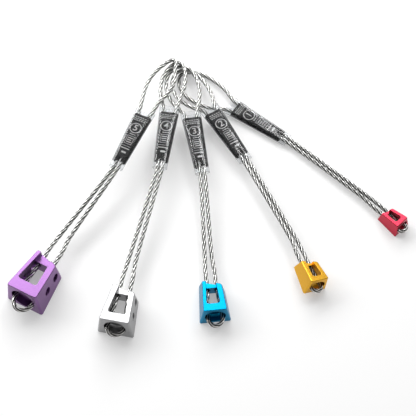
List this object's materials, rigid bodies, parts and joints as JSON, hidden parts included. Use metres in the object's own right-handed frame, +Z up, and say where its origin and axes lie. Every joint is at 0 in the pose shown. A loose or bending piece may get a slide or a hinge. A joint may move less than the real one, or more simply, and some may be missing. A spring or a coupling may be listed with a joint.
{
  "type": "wired climbing nut set",
  "caption": "Set of wired climbing nuts: tapered alloy wedges that slide on steel cable loops with labelled clear sleeves, fanned out from their gathered clip loops.",
  "frame": {"origin": "middle of the fanned set's outline, at the level of the surface it lies on", "axes": "+X across the fan from the purple head to the red one, +Y from the heads to the clip loops, +Z up"},
  "size_m": [0.3774, 0.2988, 0.0317],
  "materials": {
    "anodised_purple": "purple anodised, satin",
    "anodised_silver": "clear anodised, satin",
    "anodised_blue": "blue anodised, satin",
    "anodised_yellow": "gold anodised, satin",
    "anodised_red": "red anodised, satin",
    "steel_rope": "stranded wire rope",
    "ferrule_metal": "pressed",
    "label_film": "black printed film",
    "clear_sleeve": "clear shrink tube"
  },
  "bodies": {
    "blue_wire": {"cable_blue": "steel_rope", "ferrule_blue": "ferrule_metal", "label_blue": "label_film", "sleeve_blue": "clear_sleeve"},
    "silver_wire": {"cable_silver": "steel_rope", "ferrule_silver": "ferrule_metal", "label_silver": "label_film", "sleeve_silver": "clear_sleeve"},
    "purple_wire": {"cable_purple": "steel_rope", "ferrule_purple": "ferrule_metal", "label_purple": "label_film", "sleeve_purple": "clear_sleeve"},
    "yellow_wire": {"cable_yellow": "steel_rope", "ferrule_yellow": "ferrule_metal", "label_yellow": "label_film", "sleeve_yellow": "clear_sleeve"},
    "red_wire": {"cable_red": "steel_rope", "ferrule_red": "ferrule_metal", "label_red": "label_film", "sleeve_red": "clear_sleeve"},
    "blue_head": {"head_blue": "anodised_blue"},
    "silver_head": {"head_silver": "anodised_silver"},
    "purple_head": {"head_purple": "anodised_purple"},
    "yellow_head": {"head_yellow": "anodised_yellow"},
    "red_head": {"head_red": "anodised_red"}
  },
  "joints": [
    {"name": "silver_swing", "type": "hinge", "parent": "blue_wire", "child": "silver_wire", "pos_m": [-0.02862, 0.13847, 0], "axis": [0, 0, -1], "range_deg": [0, 20]},
    {"name": "purple_swing", "type": "hinge", "parent": "silver_wire", "child": "purple_wire", "pos_m": [-0.02862, 0.13847, 0], "axis": [0, 0, -1], "range_deg": [0, 20]},
    {"name": "yellow_swing", "type": "hinge", "parent": "blue_wire", "child": "yellow_wire", "pos_m": [-0.02862, 0.13847, 0], "axis": [0, 0, 1], "range_deg": [0, 20]},
    {"name": "red_swing", "type": "hinge", "parent": "yellow_wire", "child": "red_wire", "pos_m": [-0.02862, 0.13847, 0], "axis": [0, 0, 1], "range_deg": [0, 20]},
    {"name": "blue_slide", "type": "slide", "parent": "blue_wire", "child": "blue_head", "axis": [-0.1045, 0.9945, 0], "range_m": [0, 0.01]},
    {"name": "silver_slide", "type": "slide", "parent": "silver_wire", "child": "silver_head", "axis": [0.1908, 0.9816, 0], "range_m": [0, 0.01]},
    {"name": "purple_slide", "type": "slide", "parent": "purple_wire", "child": "purple_head", "axis": [0.4633, 0.8862, 0], "range_m": [0, 0.01]},
    {"name": "yellow_slide", "type": "slide", "parent": "yellow_wire", "child": "yellow_head", "axis": [-0.3649, 0.9311, 0], "range_m": [0, 0.01]},
    {"name": "red_slide", "type": "slide", "parent": "red_wire", "child": "red_head", "axis": [-0.7059, 0.7083, 0], "range_m": [0, 0.01]}
  ]
}
